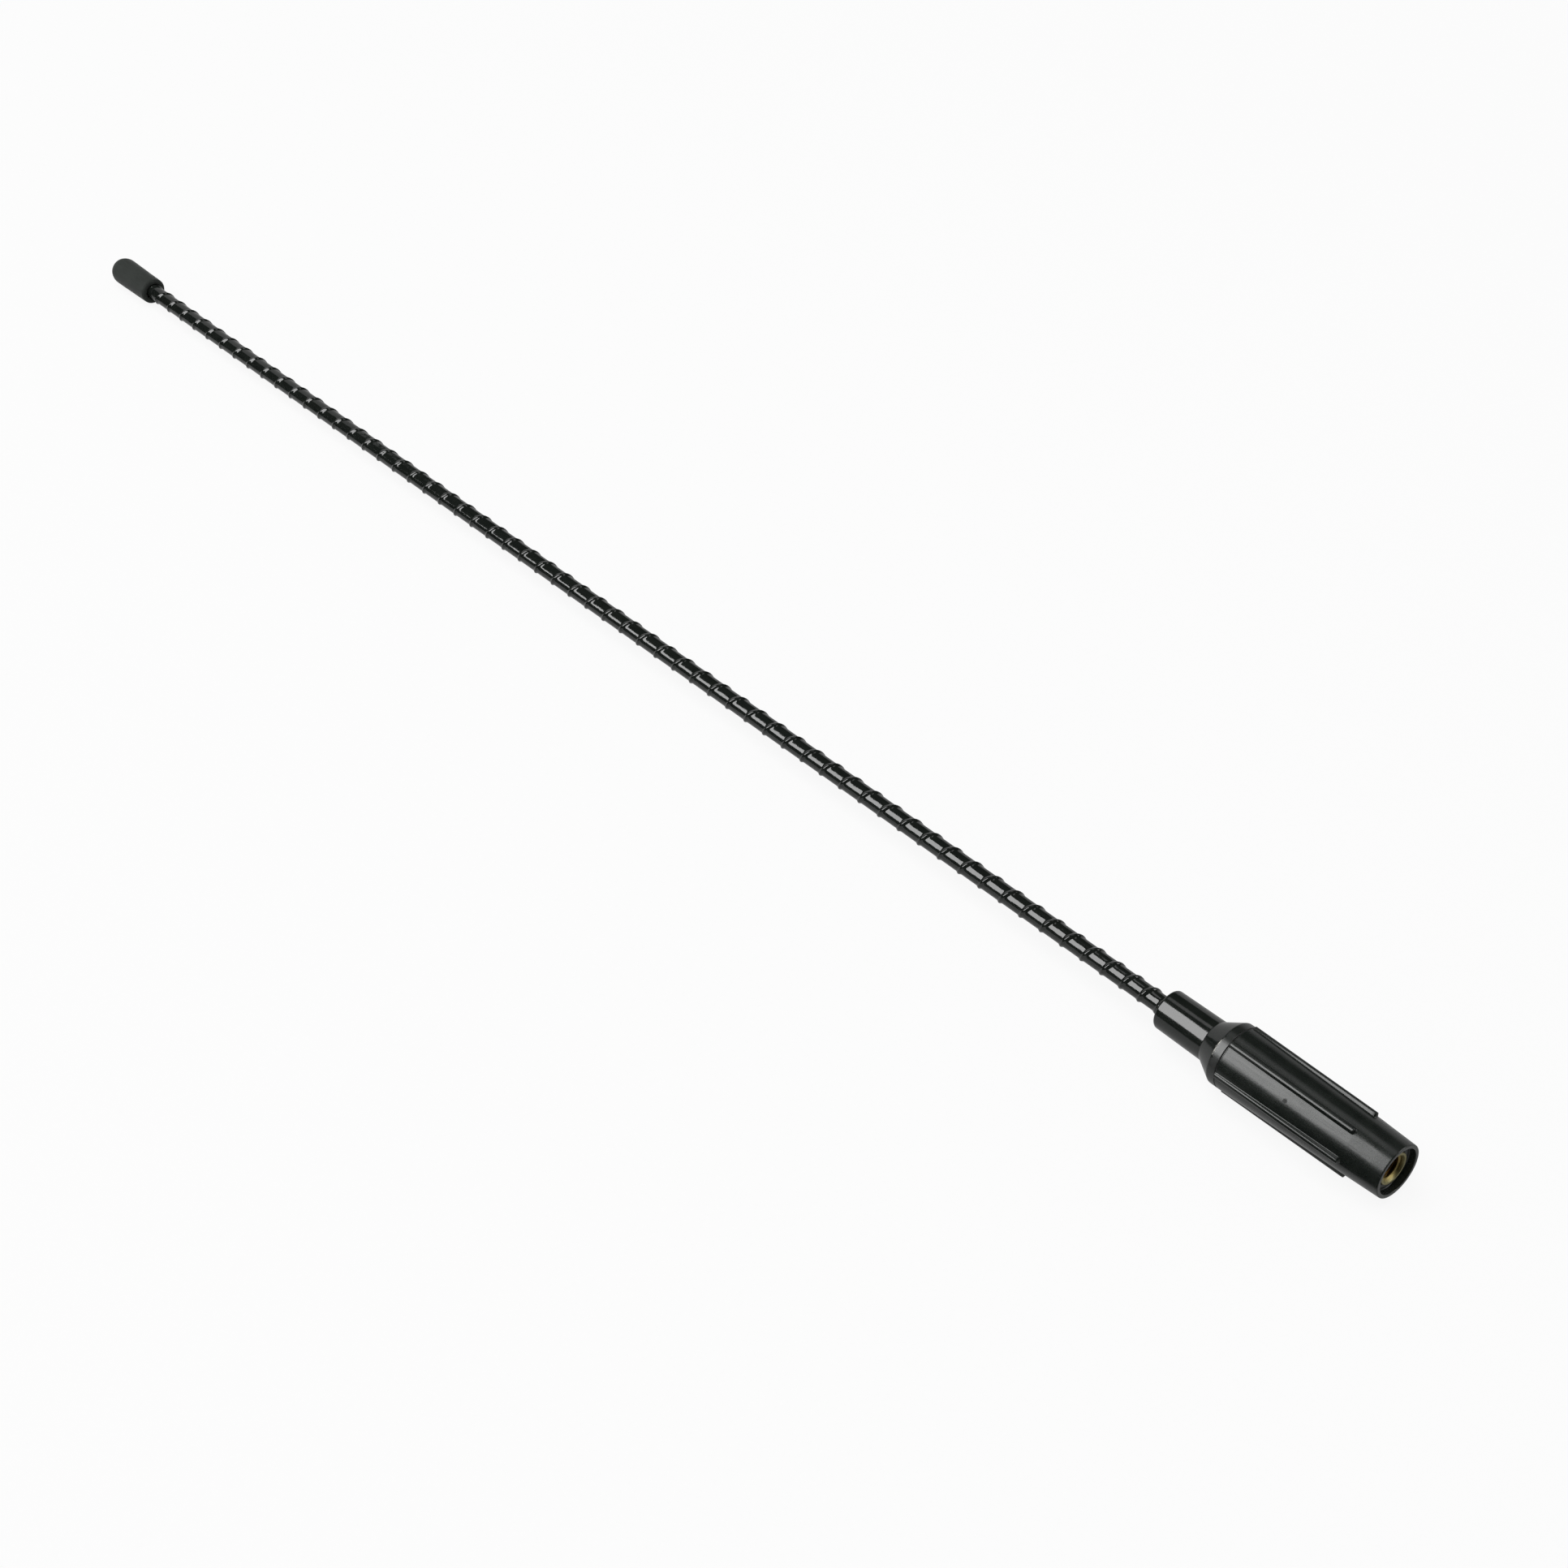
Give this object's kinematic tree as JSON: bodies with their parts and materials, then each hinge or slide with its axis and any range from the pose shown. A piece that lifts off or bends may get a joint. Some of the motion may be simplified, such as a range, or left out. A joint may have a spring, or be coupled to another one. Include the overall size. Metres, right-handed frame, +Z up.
{
  "type": "car mast aerial",
  "caption": "Flexible rod aerial for a vehicle, with a wire-wound mast in a shrunk jacket, a rubber tip cap and a ribbed base tapped for a stud.",
  "frame": {"origin": "on the surface that the aerial lies on, under the middle of its length", "axes": "+Z up, the mast along X with its tip towards -X and the mouth of its base towards +X, falling about half a degree to the tip"},
  "size_m": [0.406, 0.013, 0.0122],
  "materials": {
    "cap_rubber": "matte",
    "jacket": "gloss",
    "wire": "enamelled copper",
    "rod": "satin glass fibre",
    "solder": "bright tin solder",
    "brass": "turned",
    "collar_moulding": "gloss",
    "sleeve_moulding": "semi-gloss"
  },
  "bodies": {
    "root": {"tip_cap": "cap_rubber", "mast_jacket": "jacket", "winding_wire": "wire", "mast_rod": "rod", "solder_joint": "solder", "foot_ferrule": "brass", "base_collar": "collar_moulding", "ribbed_sleeve": "sleeve_moulding"}
  },
  "joints": []
}
